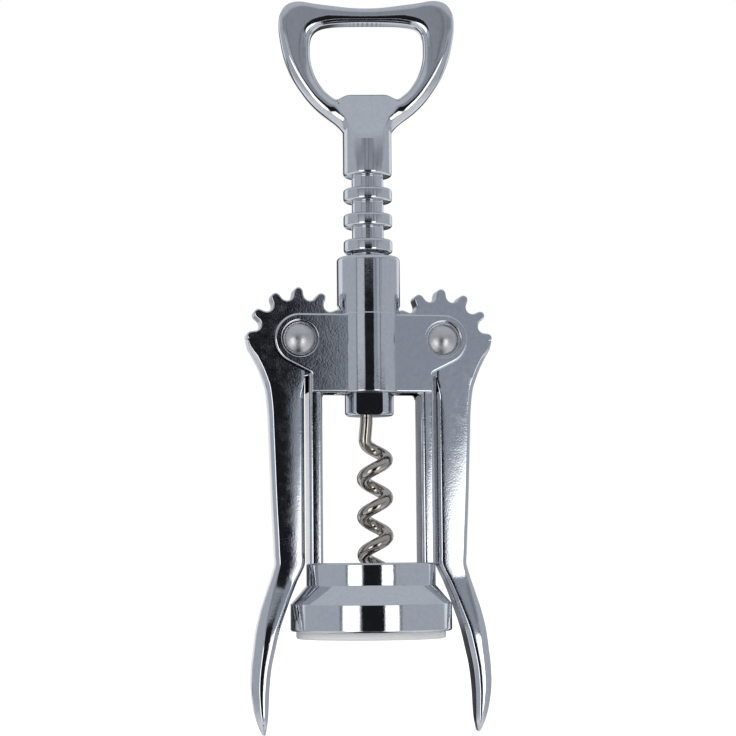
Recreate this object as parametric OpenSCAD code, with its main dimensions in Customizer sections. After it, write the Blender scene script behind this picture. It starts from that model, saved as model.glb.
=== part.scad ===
// Wing corkscrew with a bottle opener handle.
// Millimetres, +Z up, front towards -Y. The origin is the centre of the mouth that sits on a bottle.
// Rest pose: both levers hang down and the spindle is up.

/* [Neck ring] */
// Bore that goes over the bottle's mouth
mouth_d = 30; // [28:0.5:32]
// Depth of that bore
mouth_depth = 8.8; // [7:0.2:9.6]
// Wall of the ring inside the bell
liner_wall = 2.2; // [1.7:0.1:2.6]
// From the pressed-in part out to the edge of the lip that shows under the bell
lip_over = 0.9; // [0.4:0.1:1.5]
// Height of the lip
lip_h = 2.4; // [1.6:0.1:3.5]
// Bevel round the lip's lower edge
lip_bevel = 0.5; // [0.2:0.1:0.9]

/* [Bell] */
// Wall of the bell round the ring
bell_wall = 2.4; // [1.8:0.1:3]
// Upper, narrow cylinder of the bell
bell_top_d = 31.4; // [31:0.1:33]
// Height of the wide cylinder
bell_skirt_h = 5.9; // [5:0.1:7]
// Height of the cone between the two cylinders
bell_cone_h = 4.4; // [3.5:0.1:5.5]
// Height of the narrow cylinder
bell_collar_h = 5.4; // [4.5:0.1:7]
// Passage for the cork
cork_d = 23.6; // [22:0.1:24]
// Rounding of the bell's edges
bell_round = 0.6; // [0.3:0.1:1]

/* [Legs] */
// Free height of the legs between the bell and the plates
leg_h = 41; // [36:0.5:46]
// Thickness of a leg, across the corkscrew
leg_t = 3.2; // [2.6:0.1:3.8]
// Width of a leg, front to back
leg_w = 8.8; // [7.4:0.1:9.6]
// Rounding of a leg's upright edges
leg_round = 1; // [0.6:0.1:1.5]
// From a leg's outer face in to the collar's outside
leg_inset = 0.4; // [0.2:0.05:0.7]
// Fillet where a leg meets the plates
leg_fillet = 1.1; // [0.5:0.1:2]

/* [Barrel and plates] */
// Wall of the barrel above the plates
barrel_wall = 1.7; // [1.3:0.05:2.2]
// Height of the barrel over the plates' lower edge
barrel_h = 33.5; // [31:0.5:35]
// Extra radius of the barrel at and below the plates' upper edge
barrel_step = 0.15; // [0.05:0.05:0.4]
// Rounding of the barrel's upper edge
barrel_round = 1.1; // [0.4:0.1:1.5]
// Thickness of a plate
plate_t = 1.9; // [1.6:0.1:2.4]
// Height of the pivots over the plates' lower edge
pivot_h = 13; // [12.8:0.1:14]
// Radius of a plate's ear round its pivot
ear_r = 6.1; // [5.6:0.1:7]
// Height of the plates' straight sides below the ears
plate_side_h = 4.8; // [4:0.1:5.5]
// From a leg's outer face in to the plates' straight side
plate_side_inset = 0.45; // [0:0.05:0.8]
// Recess for a rivet head
recess_d = 8.8; // [8.2:0.1:9.6]
// Depth of that recess
recess_depth = 0.8; // [0.5:0.1:1]

/* [Spindle] */
// Outside of the rings, the shank and the tail
spindle_d = 12; // [11.4:0.1:12.6]
// Neck between two rings
neck_d = 7.8; // [7:0.1:8.4]
// Distance from one ring to the next
ring_pitch = 6.34; // [6.2:0.02:6.5]
// Thickness of a ring
ring_t = 3.3; // [3:0.05:3.4]
// Rounding of a ring's edges
ring_round = 0.8; // [0.4:0.1:1]
// Rings above the tail
ring_count = 7; // [6:1:7]
// Plain tail below the lowest groove
tail_h = 11.5; // [10:0.1:14]
// Plain shank between the highest groove and the handle
shank_h = 11.5; // [10.5:0.1:14]
// Rounding of the shank's lower edge and the tail's lower edge
shank_round = 0.8; // [0.3:0.1:1.2]

/* [Handle] */
// Width of the handle across its horns
handle_w = 43.4; // [40:0.2:46]
// Height of the handle from the shank to the tops of its horns
handle_h = 32.4; // [31:0.2:36]
// Turn of the handle about the spindle's axis, in degrees: the spindle can be turned freely
handle_turn = -9; // [-45:1:45]
// Thickness of the handle
handle_t = 6.6; // [5.6:0.1:7.4]
// Width of the rounded edge seen from the front
handle_edge_w = 1.7; // [0.8:0.1:2]
// Depth of the rounded edge
handle_edge_t = 2; // [1:0.1:2.3]
// Width of the window
window_w = 28; // [27:0.1:31]
// Height of the window over the cap lip
window_h = 17.6; // [16.5:0.1:18.4]
// Height of the cap lip over the handle's root
cap_lip_h = 9.1; // [8.6:0.1:9.6]
// Thickness of the cap lip at its edge
cap_lip_t = 3; // [2.2:0.1:4]
// From the handle's root down to the tip of the flat shield
shield_drop = 2.7; // [1.5:0.1:4]

/* [Worm] */
// Wire of the worm
wire_d = 3.1; // [2.6:0.1:3.4]
// Outside of the helix
worm_d = 8.8; // [8.2:0.1:9.6]
// Rise of one turn
worm_pitch = 9.35; // [8.6:0.05:10.4]
// Length of the worm below the spindle's tail
worm_len = 43; // [36:0.5:43.5]
// Straight part below the tail
worm_neck = 4.8; // [3:0.1:6]
// Depth of the worm's end in the tail
worm_seat = 7; // [5:0.5:9]
// Length of the sharpened tip, along the axis
worm_tip = 3.6; // [2:0.1:5]
// Helix axis to the right of the spindle axis
worm_offset = 1; // [0.5:0.1:1.4]

/* [Levers] */
// Thickness of a lever
lever_t = 6; // [5.4:0.1:6.4]
// Thickness of the grip at its thickest place
grip_t = 7.2; // [6.4:0.1:8]
// Width of a lever below its hub
lever_w = 8.6; // [7.6:0.1:9.4]
// Length of a lever below the bell's top
lever_tail_h = 40.6; // [36:0.2:46]
// From a lever to the bell's collar beside it
lever_gap = 0.6; // [0.4:0.05:1]
// Bevel along a lever's edges
lever_bevel = 1.2; // [0.6:0.1:1.5]
// Root radius of the teeth
root_r = 9.6; // [9.2:0.1:9.9]
// Height of a tooth
tooth_h = 3.1; // [2.8:0.05:3.2]
// Width of a tooth at its round tip
tooth_tip_w = 1.9; // [1.6:0.05:2.1]
// Width of the gap between two teeth
tooth_gap_w = 4.3; // [4.1:0.05:4.5]
// How deep a tooth reaches between the rings
tooth_reach = 1.1; // [0.9:0.05:1.2]
// Angle from one tooth to the next, in degrees
tooth_step = 28.7; // [28.2:0.1:29.2]
// Teeth on a lever
tooth_count = 7; // [6:1:7]

/* [Rivets] */
// Shaft of a rivet
rivet_d = 4.8; // [4:0.1:5.4]
// Head of a rivet
rivet_head_d = 7.7; // [7:0.1:8]
// Height of the domed head
rivet_head_h = 1.9; // [1.4:0.1:2.2]

/* [Fits] */
// Radial clearance of the spindle in the barrel
barrel_fit = 0.06; // [0.02:0.01:0.1]
// Radial clearance of a lever on its rivet
pivot_fit = 0.05; // [0.02:0.01:0.1]
// Gap between a lever and each plate
side_gap = 0.3; // [0.3:0.05:0.4]
// Gap round the teeth in the barrel's windows
tooth_room = 0.4; // [0.3:0.05:0.5]

/* [Hidden] */

// Facets of round things, and of the smooth lines
$fn = 96;
line_steps = 3;
edge_steps = 3;
wire_sides = 12;
turn_steps = 24;
// How far a cut runs past what it cuts
overrun = 1;

// Radii from the diameters
mouth_r = mouth_d / 2;
liner_r = mouth_r + liner_wall;
lip_r = liner_r + lip_over;
bell_r = liner_r + bell_wall;
bell_top_r = bell_top_d / 2;
cork_r = cork_d / 2;
spindle_r = spindle_d / 2;
neck_r = neck_d / 2;
bore_r = spindle_r + barrel_fit;
barrel_r = bore_r + barrel_wall;
wire_r = wire_d / 2;
rivet_r = rivet_d / 2;

// Heights of the frame, from the mouth up
skirt_z = lip_h + bell_skirt_h;
cone_z = skirt_z + bell_cone_h;
bell_top_z = cone_z + bell_collar_h;
plate_z = bell_top_z + leg_h;
pivot_z = plate_z + pivot_h;
ear_top_z = pivot_z + ear_r;
barrel_top_z = plate_z + barrel_h;

// Plates and the legs under them
plate_in_y = lever_t / 2 + side_gap;
plate_out_y = plate_in_y + plate_t;
leg_out_x = bell_top_r - leg_inset;
leg_in_x = leg_out_x - leg_t;
plate_side_x = leg_out_x - plate_side_inset;
plate_side_z = plate_z + plate_side_h;

// The gear: a tooth reaches in between the rings, and the levers turn in step with the rack
tip_r = root_r + tooth_h;
pivot_x = spindle_r + tip_r - tooth_reach;
tooth_pitch_r = ring_pitch / (tooth_step * PI / 180);
groove_t = ring_pitch - ring_t;

// The rack: the groove beside the first tooth is the second one up
first_tooth_angle = 4.2;
first_groove_z = pivot_z + tooth_pitch_r * first_tooth_angle * PI / 180;
low_groove_z = first_groove_z - ring_pitch;
tail_top_z = low_groove_z - groove_t / 2;
tail_z = tail_top_z - tail_h;
shank_z = low_groove_z + ring_pitch * ring_count + groove_t / 2;
root_z = shank_z + shank_h;

// Outline of one half of the handle: across as a share of half its width, up as a share of its height
handle_shares = [[0.365, 0.05], [0.53, 0.135], [0.645, 0.21], [0.74, 0.292], [0.85, 0.41],
    [0.94, 0.56], [0.99, 0.725], [1, 0.82], [0.985, 0.9], [0.925, 0.968], [0.84, 0.996],
    [0.74, 1], [0.6, 0.984], [0.38, 0.964], [0.18, 0.948]];
horn_dip_share = 0.943;
// Its foot in the shank: across as a share of the spindle's radius, down as a share of the shield's drop
foot_shares = [[0.58, 1.3], [0.88, 0.66], [1.06, 0]];
// Half the width of the cut for the flat shield, as a share of the window's width
shield_w_share = 0.28;
// How far the shank runs up inside the shield, as a share of the cap lip's height
shank_run_share = 0.8;
// Rounding of the window's edge as a share of that of the handle's outer edge
window_edge_share = 0.7;
// Outline of one half of the window: the same of half the window's width and of its height
window_shares = [[0.16, 0], [0.32, -0.002], [0.42, -0.03], [0.5, -0.065], [0.57, -0.06], [0.67, 0],
    [0.755, 0.065], [0.875, 0.21], [0.945, 0.345], [0.99, 0.49], [1, 0.63], [0.99, 0.78],
    [0.94, 0.88], [0.83, 0.95], [0.64, 0.985], [0.3, 1]];

// Stations of a lever below the bell's top: down, inner edge out from the collar, width
grip_shares = [[0, 0, 0.815], [0.04, 0.15, 0.79], [0.1, 0.46, 0.735], [0.158, 0.71, 0.72],
    [0.21, 0.93, 0.705], [0.275, 1.18, 0.69], [0.39, 1.6, 0.63], [0.51, 1.9, 0.57],
    [0.62, 2.13, 0.525], [0.74, 2.25, 0.475], [0.857, 2.29, 0.385], [0.93, 2.33, 0.275],
    [0.975, 2.4, 0.155], [1, 2.46, 0.06]];
// The grip's thickness: down as a share of its length, and as a share of the thickest place
grip_t_shares = [[0.05, 0.845], [0.15, 0.89], [0.25, 0.95], [0.36, 0.99], [0.46, 1], [0.58, 0.95],
    [0.7, 0.84], [0.82, 0.68], [0.92, 0.51], [1, 0.36]];
// Stations of a lever from its pivot down to the bell's top: down and width
arm_shares = [[0, 1.6], [0.04, 1.55], [0.085, 1.4], [0.13, 1.26], [0.175, 1.15], [0.22, 1.065],
    [0.31, 1], [0.42, 0.97], [0.55, 0.94], [0.72, 0.9], [0.88, 0.85], [0.95, 0.832]];
// Radius of the hub, just below the bottoms of the gaps
hub_share = 0.965;
// How far the bevel may go in from each edge
bevel_share = 0.42;
bevel_run_share = 0.45;

// A point on the smooth line from b to c, with its neighbours a and d
function spline_point(a, b, c, d, t) = (b * 2 + (c - a) * t + (a * 2 - b * 5 + c * 4 - d) * t * t
    + (b * 3 - a - c * 3 + d) * t * t * t) / 2;

// A smooth closed line through all the points
function smooth_loop(p) = [for (i = [0:len(p) - 1], k = [0:line_steps - 1])
    spline_point(p[(i + len(p) - 1) % len(p)], p[i], p[(i + 1) % len(p)], p[(i + 2) % len(p)],
    k / line_steps)];

// A half outline and its mirror image as one closed outline
function both_halves(p) = concat(p, [for (i = [len(p) - 1:-1:0]) [-p[i][0], p[i][1]]]);

function unit(v) = v / norm(v);

// The outline moved in by d, which is out where d is negative
function moved_in(p, d) = [for (i = [0:len(p) - 1])
    let (before = unit(p[i] - p[(i + len(p) - 1) % len(p)]), after = unit(p[(i + 1) % len(p)] - p[i]),
        along = unit(before + after))
    p[i] + d * [-along[1], along[0]]];

// The middle of all the points of an outline
function middle_of(p) = [for (q = p) 1] * p / len(p);

// A plate between two faces, whose outline changes by layers of [moved in, y]
module layered_plate(outline, layers) {
    count = len(outline);
    all_layers = count * len(layers);
    middle = middle_of(outline);
    points = concat([for (layer = layers) for (p = moved_in(outline, layer[0])) [p[0], layer[1], p[1]]],
        [for (layer = [layers[0], layers[len(layers) - 1]]) [middle[0], layer[1], middle[1]]]);
    sides = [for (k = [0:len(layers) - 2], i = [0:count - 1])
        let (a = k * count + i, b = k * count + (i + 1) % count)
        each [[a, b, b + count], [a, b + count, a + count]]];
    faces = [for (i = [0:count - 1]) let (next = (i + 1) % count, back = all_layers - count)
        each [[all_layers, next, i], [all_layers + 1, back + i, back + next]]];
    polyhedron(points, concat(sides, faces));
}

// Layers of a rounded edge of that width and depth on a plate of that thickness
function edge_layers(w, depth, t) = concat(
    [for (k = [0:edge_steps]) let (a = 90 * k / edge_steps)
        [w * (1 - sin(a)), -t / 2 + depth * (1 - cos(a))]],
    [for (k = [edge_steps:-1:0]) let (a = 90 * k / edge_steps)
        [w * (1 - sin(a)), t / 2 - depth * (1 - cos(a))]]);

// The same for a cut: it runs past both faces, and opens where the edge is rounded
function cut_layers(w, depth, t) = concat(
    [[-w, -t / 2 - overrun]],
    [for (k = [0:edge_steps]) let (a = 90 * k / edge_steps)
        [-w * (1 - sin(a)), -t / 2 + depth * (1 - cos(a))]],
    [for (k = [edge_steps:-1:0]) let (a = 90 * k / edge_steps)
        [-w * (1 - sin(a)), t / 2 - depth * (1 - cos(a))]],
    [[-w, t / 2 + overrun]]);

// A cylinder along Z whose lower and upper edges are rounded
module rounded_cylinder(r, z0, z1, low, high) {
    rotate_extrude()
        intersection() {
            union() {
                translate([0, z0 + low]) square([r, z1 - z0 - low - high]);
                translate([0, z0]) square([r - max(low, high), z1 - z0]);
                if (low > 0) translate([r - low, z0 + low]) circle(low);
                if (high > 0) translate([r - high, z1 - high]) circle(high);
            }
            translate([0, z0]) square([r, z1 - z0]);
        }
}

// A cylinder along Y through a pivot
module pivot_cylinder(x, r, half_y) {
    translate([x, half_y, pivot_z]) rotate([90, 0, 0]) cylinder(r = r, h = 2 * half_y);
}

// Outline of a plate, with the two ears
module plate_outline() {
    away = [plate_side_x - pivot_x, plate_side_z - pivot_z];
    tangent = atan2(away[1], away[0]) + acos(ear_r / norm(away));
    ear_low = [pivot_x + ear_r * cos(tangent), pivot_z + ear_r * sin(tangent)];
    for (s = [-1, 1]) translate([s * pivot_x, pivot_z]) circle(ear_r);
    polygon([[-pivot_x, ear_top_z], [pivot_x, ear_top_z], ear_low, [plate_side_x, plate_side_z],
        [plate_side_x, plate_z], [-plate_side_x, plate_z], [-plate_side_x, plate_side_z],
        [-ear_low[0], ear_low[1]]]);
}

// Section of a leg, with its upright edges rounded
module leg_section() {
    translate([leg_in_x + leg_round, -leg_w / 2]) square([leg_t - 2 * leg_round, leg_w]);
    translate([leg_in_x, leg_round - leg_w / 2]) square([leg_t, leg_w - 2 * leg_round]);
    for (x = [leg_in_x + leg_round, leg_out_x - leg_round], s = [-1, 1])
        translate([x, s * (leg_w / 2 - leg_round)]) circle(leg_round);
}

// Fillet between a leg and the plates' lower edge, seen from the front
module leg_corner() {
    difference() {
        translate([leg_in_x - leg_fillet, plate_z - leg_fillet]) square(leg_fillet);
        translate([leg_in_x - leg_fillet, plate_z - leg_fillet]) circle(leg_fillet);
    }
}

module bell() {
    rotate_extrude() {
        difference() {
            union() {
                translate([0, lip_h + bell_round]) square([bell_r, bell_skirt_h - bell_round]);
                translate([0, lip_h]) square([bell_r - bell_round, bell_skirt_h]);
                translate([bell_r - bell_round, lip_h + bell_round]) circle(bell_round);
                polygon([[0, skirt_z], [bell_r, skirt_z], [bell_top_r, cone_z], [0, cone_z]]);
                translate([0, cone_z]) square([bell_top_r, bell_collar_h - bell_round]);
                translate([0, cone_z]) square([bell_top_r - bell_round, bell_collar_h]);
                translate([bell_top_r - bell_round, bell_top_z - bell_round]) circle(bell_round);
            }
            translate([0, -overrun]) square([liner_r, mouth_depth + overrun]);
            translate([0, -overrun]) square([cork_r, bell_top_z + 2 * overrun]);
        }
    }
}

module frame() {
    difference() {
        union() {
            rounded_cylinder(barrel_r, plate_z, barrel_top_z, 0, barrel_round);
            translate([0, 0, plate_z]) cylinder(r = barrel_r + barrel_step, h = ear_top_z - plate_z);
            for (y = [-plate_out_y, plate_in_y])
                translate([0, y + plate_t, 0]) rotate([90, 0, 0]) linear_extrude(plate_t) plate_outline();
            for (s = [0, 1]) mirror([s, 0, 0]) {
                translate([0, 0, bell_top_z - bell_round])
                    linear_extrude(plate_side_z - bell_top_z + bell_round) leg_section();
                for (y = [-plate_out_y, plate_in_y])
                    translate([0, y + plate_t, 0]) rotate([90, 0, 0])
                        linear_extrude(plate_t) leg_corner();
            }
            bell();
        }
        translate([0, 0, plate_z - overrun]) cylinder(r = bore_r, h = barrel_h + 2 * overrun);
        for (s = [-1, 1]) {
            pivot_cylinder(s * pivot_x, tip_r + tooth_room, plate_in_y);
            pivot_cylinder(s * pivot_x, rivet_r, plate_out_y + overrun);
            for (y = [-plate_out_y - overrun, plate_out_y - recess_depth])
                translate([s * pivot_x, y + recess_depth + overrun, pivot_z]) rotate([90, 0, 0])
                    cylinder(d = recess_d, h = recess_depth + overrun);
        }
    }
}

module neck_ring() {
    rotate_extrude()
        polygon([[mouth_r, 0], [lip_r - lip_bevel, 0], [lip_r, lip_bevel], [lip_r, lip_h],
            [liner_r, lip_h], [liner_r, mouth_depth], [mouth_r, mouth_depth]]);
}

// A rivet along Y: a shaft with a dome at each end
module rivet() {
    seat = plate_out_y - recess_depth;
    dome_r = ((rivet_head_d / 2) * (rivet_head_d / 2) + rivet_head_h * rivet_head_h) / (2 * rivet_head_h);
    rotate([90, 0, 0]) rotate_extrude() {
        translate([0, -seat]) square([rivet_r, 2 * seat]);
        for (s = [0, 1]) mirror([0, s])
            intersection() {
                translate([0, seat + rivet_head_h - dome_r]) circle(dome_r);
                translate([0, seat]) square([rivet_head_d / 2, rivet_head_h]);
            }
    }
}

module pivot_rivets() {
    for (s = [-1, 1]) translate([s * pivot_x, 0, pivot_z]) rivet();
}

// The handle's outer body before its window is cut
module handle_body() {
    half = [for (p = handle_shares) [p[0] * handle_w / 2, root_z + p[1] * handle_h]];
    foot = [for (s = foot_shares) [spindle_r * s[0], root_z - shield_drop * s[1]]];
    dip = [[0, root_z + horn_dip_share * handle_h]];
    upper = concat(foot, half);
    loop = concat(upper, dip, [for (i = [len(upper) - 1:-1:0]) [-upper[i][0], upper[i][1]]]);
    layered_plate(smooth_loop(loop), edge_layers(handle_edge_w, handle_edge_t, handle_t));
}

module handle_window() {
    lip_z = root_z + cap_lip_h;
    half = [for (p = window_shares) [p[0] * window_w / 2, lip_z + p[1] * window_h]];
    layered_plate(smooth_loop(both_halves(half)),
        cut_layers(handle_edge_w * window_edge_share, handle_edge_t * window_edge_share, handle_t));
}

// Cuts one side of the shank and the root of the handle to the flat shield, a plane that leans back
module shield_cut() {
    lip_z = root_z + cap_lip_h;
    low_z = root_z - shield_drop;
    lean = (spindle_r - cap_lip_t / 2) / (lip_z - low_z);
    half_w = window_w * shield_w_share;
    translate([-half_w, 0, 0]) rotate([90, 0, 90]) linear_extrude(2 * half_w)
        polygon([[-spindle_r, low_z], [-spindle_r - overrun, low_z], [-spindle_r - overrun, lip_z + overrun],
            [-cap_lip_t / 2 + lean * overrun, lip_z + overrun]]);
}

module spindle() {
    difference() {
        union() {
            translate([0, 0, tail_top_z - ring_round])
                cylinder(r = neck_r, h = shank_z - tail_top_z + 2 * ring_round);
            rounded_cylinder(spindle_r, tail_z, tail_top_z, shank_round, ring_round);
            for (k = [1:ring_count]) {
                z = low_groove_z + ring_pitch * (k - 1 / 2);
                rounded_cylinder(spindle_r, z - ring_t / 2, z + ring_t / 2, ring_round, ring_round);
            }
            difference() {
                union() {
                    rounded_cylinder(spindle_r, shank_z, root_z + cap_lip_h * shank_run_share, shank_round, 0);
                    rotate([0, 0, handle_turn]) handle_body();
                }
                rotate([0, 0, handle_turn]) {
                    handle_window();
                    for (s = [0, 1]) mirror([0, s, 0]) shield_cut();
                }
            }
        }
        translate([worm_top[0], worm_top[1], tail_z - overrun])
            cylinder(r = wire_r, h = worm_seat + overrun);
    }
}

// The worm: its wire leaves the tail straight, then turns round an axis beside the spindle's
helix_r = worm_d / 2 - wire_r;
leave_angle = 140;
// Place of the helix axis, and of the wire's top from the helix, as shares of the offset
axis_shares = [1, -1.3];
top_shares = [0.5, -0.3];
// Radius at the sharp tip as a share of the wire's, and how the taper curves
tip_r_share = 0.06;
taper_share = 0.8;
helix_axis = worm_offset * axis_shares;
worm_top = helix_axis + helix_r * [cos(leave_angle), sin(leave_angle)] + worm_offset * top_shares;
// Depth over which the turning starts
bend_h = worm_pitch / 3;

// Turned depth after going down by d below the straight part
function turned(d) = d <= 0 ? 0 : (d < bend_h ? d * d / (2 * bend_h) : d - bend_h / 2);

// A point of the wire's centre line, d below the tail
function worm_angle(d) = leave_angle - 360 * turned(d - worm_neck) / worm_pitch;
function ease(t) = t <= 0 ? 0 : (t >= 1 ? 1 : t * t * (3 - 2 * t));
function worm_point(d) = let (a = worm_angle(d), w = ease(d / (worm_neck + bend_h)),
        on = helix_axis + helix_r * [cos(a), sin(a)], p = worm_top * (1 - w) + on * w)
    [p[0], p[1], tail_z - d];

// Radius of the wire there: full, then drawn to a point
function worm_radius(d) = wire_r * min(1, max(tip_r_share, pow(max(0, worm_len - d) / worm_tip, taper_share)));

module worm() {
    step = worm_pitch / turn_steps;
    stations = concat([-worm_seat, 0, worm_neck / 3, worm_neck * 2 / 3],
        [for (k = [0:floor((worm_len - worm_tip - worm_neck) / step)]) worm_neck + k * step],
        [for (k = [1:6]) worm_len - worm_tip * (1 - k / 6) * (1 - k / 6)]);
    rings = [for (d = stations)
        let (p = worm_point(d), a = worm_angle(d), e = step / 20,
            along = unit(worm_point(d + e) - worm_point(d - e)), radial = [cos(a), sin(a), 0],
            side = unit(radial - along * (along * radial)), up = cross(along, side), r = worm_radius(d))
        each [for (k = [0:wire_sides - 1])
            let (f = 360 * k / wire_sides) p + r * (cos(f) * side + sin(f) * up)]];
    last = (len(stations) - 1) * wire_sides;
    sides = [for (j = [0:len(stations) - 2], k = [0:wire_sides - 1])
        let (a = j * wire_sides + k, b = j * wire_sides + (k + 1) % wire_sides)
        each [[a, a + wire_sides, b + wire_sides], [a, b + wire_sides, b]]];
    polyhedron(rings, concat([[for (k = [0:wire_sides - 1]) k]], sides,
        [[for (k = [wire_sides - 1:-1:0]) last + k]]));
}

// The toothed sector of the right lever, seen from the front
module gear_outline() {
    tip_round = tooth_tip_w / 2;
    circle(root_r * hub_share);
    difference() {
        intersection() {
            circle(tip_r - tip_round);
            polygon([[0, 0], for (k = [0:tooth_count]) tip_r * 1.5 * [-cos(tooth_angle(k - 0.5)),
                sin(tooth_angle(k - 0.5))]]);
        }
        for (k = [-1:tooth_count - 1])
            rotate(-tooth_angle(k + 0.5)) {
                translate([-root_r - tooth_gap_w / 2, 0]) circle(tooth_gap_w / 2);
                translate([-tip_r - overrun, -tooth_gap_w / 2])
                    square([tooth_h - tooth_gap_w / 2 + overrun, tooth_gap_w]);
            }
    }
    for (k = [0:tooth_count - 1])
        rotate(-tooth_angle(k)) translate([tip_round - tip_r, 0]) circle(tip_round);
}

// Angle of a tooth up from the line that points at the spindle
function tooth_angle(k) = first_tooth_angle + tooth_step * k;

// A smooth open line through the rows of a table
function smooth_rows(p) = concat([for (i = [0:len(p) - 2], k = [0:line_steps - 1])
    spline_point(p[max(0, i - 1)], p[i], p[i + 1], p[min(len(p) - 1, i + 2)], k / line_steps)],
    [p[len(p) - 1]]);

// Rows of the right lever from its pivot down: [z, inner x, outer x]
lever_inner_x = bell_top_r + lever_gap;
lever_rows = smooth_rows(concat(
    [for (s = arm_shares) [pivot_z - s[0] * (pivot_z - bell_top_z), lever_inner_x, lever_inner_x + s[1] * lever_w]],
    [for (s = grip_shares) let (x = lever_inner_x + s[1] * (bell_r - bell_top_r))
        [bell_top_z - s[0] * lever_tail_h, x, x + s[2] * lever_w]]));
tip_z = bell_top_z - lever_tail_h;

// Stations of half the lever's thickness from the bell's top down: [z, half the thickness]
side_rows = smooth_rows(concat([[bell_top_z, lever_t / 2]],
    [for (s = grip_t_shares) [bell_top_z - s[0] * lever_tail_h, s[1] * grip_t / 2]]));

// Half the lever's thickness at a height
function half_t(z) = z >= bell_top_z ? lever_t / 2 : lookup(-z, [for (row = side_rows) [-row[0], row[1]]]);

// Bevel at a row: it grows from from_z down, and meets the other edge's bevel at the tip
function bevel_at(row, from_z) = min(lever_bevel, (row[2] - row[1]) * bevel_share,
    lever_bevel * (from_z - row[0]) / (bevel_run_share * lever_w));

// Cuts the bevel along one edge of the right lever: side 1 is the inner edge and 2 the outer one
module bevel_cut(side, from_z) {
    inward = side == 1 ? 1 : -1;
    e = overrun;
    tip_row = lever_rows[len(lever_rows) - 1];
    rows = concat([for (row = lever_rows) if (row[0] < from_z - e / 4) row],
        [[tip_z - e, tip_row[1], tip_row[2]]]);
    points = [for (row = rows)
        let (b = bevel_at(row, from_z), x = row[side], y = half_t(row[0]))
        each [[x - inward * e, y - b - e, row[0]], [x + inward * (b + e), y + e, row[0]],
            [x - inward * e, y + e, row[0]]]];
    last = len(points) - 3;
    sides = [for (j = [0:len(points) / 3 - 2], k = [0:2])
        let (a = 3 * j + k, b = 3 * j + (k + 1) % 3)
        each (side == 1 ? [[a, b + 3, a + 3], [a, b, b + 3]] : [[a, a + 3, b + 3], [a, b + 3, b]])];
    ends = side == 1 ? [[2, 1, 0], [last, last + 1, last + 2]] : [[0, 1, 2], [last + 2, last + 1, last]];
    polyhedron(points, concat(ends, sides));
}

// Outline of the right lever's arm seen from the front
module arm_outline() {
    polygon(concat([for (row = lever_rows) [row[2], row[0]]],
        [for (i = [len(lever_rows) - 1:-1:0]) [lever_rows[i][1], lever_rows[i][0]]]));
}

// Outline of a lever seen from the side
module lever_side() {
    top_z = pivot_z + tip_r + overrun;
    polygon(concat([[lever_t / 2, top_z]], [for (row = side_rows) [row[1], row[0]]],
        [for (i = [len(side_rows) - 1:-1:0]) [-side_rows[i][1], side_rows[i][0]]], [[-lever_t / 2, top_z]]));
}

module right_lever() {
    difference() {
        union() {
            translate([pivot_x, lever_t / 2, pivot_z]) rotate([90, 0, 0])
                linear_extrude(lever_t) gear_outline();
            intersection() {
                translate([0, grip_t / 2, 0]) rotate([90, 0, 0]) linear_extrude(grip_t) arm_outline();
                rotate([90, 0, 90]) linear_extrude(pivot_x + tip_r + overrun) lever_side();
            }
        }
        pivot_cylinder(pivot_x, rivet_r + pivot_fit, lever_t);
        for (s = [0, 1]) mirror([0, s, 0]) {
            bevel_cut(1, pivot_z - root_r);
            bevel_cut(2, pivot_z);
        }
    }
}

module left_lever() {
    mirror([1, 0, 0]) right_lever();
}

color("silver") frame();
color("white") neck_ring();
color("lightgrey") pivot_rivets();
color("steelblue") spindle();
color("dimgray") worm();
color("slategray") left_lever();
color("slategray") right_lever();
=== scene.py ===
import math

import bmesh
import bpy
from mathutils import Matrix, Vector


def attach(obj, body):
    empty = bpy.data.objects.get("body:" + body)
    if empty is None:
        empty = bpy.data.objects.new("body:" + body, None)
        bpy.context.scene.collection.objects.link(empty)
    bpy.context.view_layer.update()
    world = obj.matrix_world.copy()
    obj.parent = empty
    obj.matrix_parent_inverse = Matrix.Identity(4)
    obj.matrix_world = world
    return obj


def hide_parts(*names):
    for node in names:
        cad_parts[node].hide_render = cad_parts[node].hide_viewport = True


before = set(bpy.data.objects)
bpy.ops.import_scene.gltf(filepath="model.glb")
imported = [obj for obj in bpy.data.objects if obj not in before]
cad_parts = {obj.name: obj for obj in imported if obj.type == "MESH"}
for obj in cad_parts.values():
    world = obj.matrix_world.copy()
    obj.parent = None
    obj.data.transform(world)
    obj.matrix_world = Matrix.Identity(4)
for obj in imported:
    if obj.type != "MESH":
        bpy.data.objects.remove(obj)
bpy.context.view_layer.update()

# Sizes of the object in millimetres, heights above the plane of the mouth, angles in degrees. The
# large sizes are those of the CAD source. The bell's radius and the handle's height are a hair
# smaller, so that the dressed part stays inside the solids' box.

MM = 0.001

# Neck ring
MOUTH_R = 15.0
MOUTH_DEPTH = 8.8
LINER_R = 17.2
LIP_R = 18.1
LIP_H = 2.4

# Bell, whose foot hangs down beside the ring's lip with a gap
BELL_R = 19.59
BELL_TOP_R = 15.7
CORK_R = 11.8
SKIRT_Z = 8.3
CONE_Z = 12.7
BELL_TOP_Z = 18.1
FOOT_DROP = 0.6
FOOT_GAP = 0.06

# Barrel, which is a small step wider between the plates
BARREL_R = 7.76
BARREL_TOP_Z = 92.6
BARREL_STEP = 0.15
STEP_RUN = 0.2
BORE_R = 6.06
BORE_CLEAR = 0.02

# Pivots of the levers
PIVOT_X = 17.6
PIVOT_Z = 72.1
PIVOT_HOLE_R = 2.45

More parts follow.
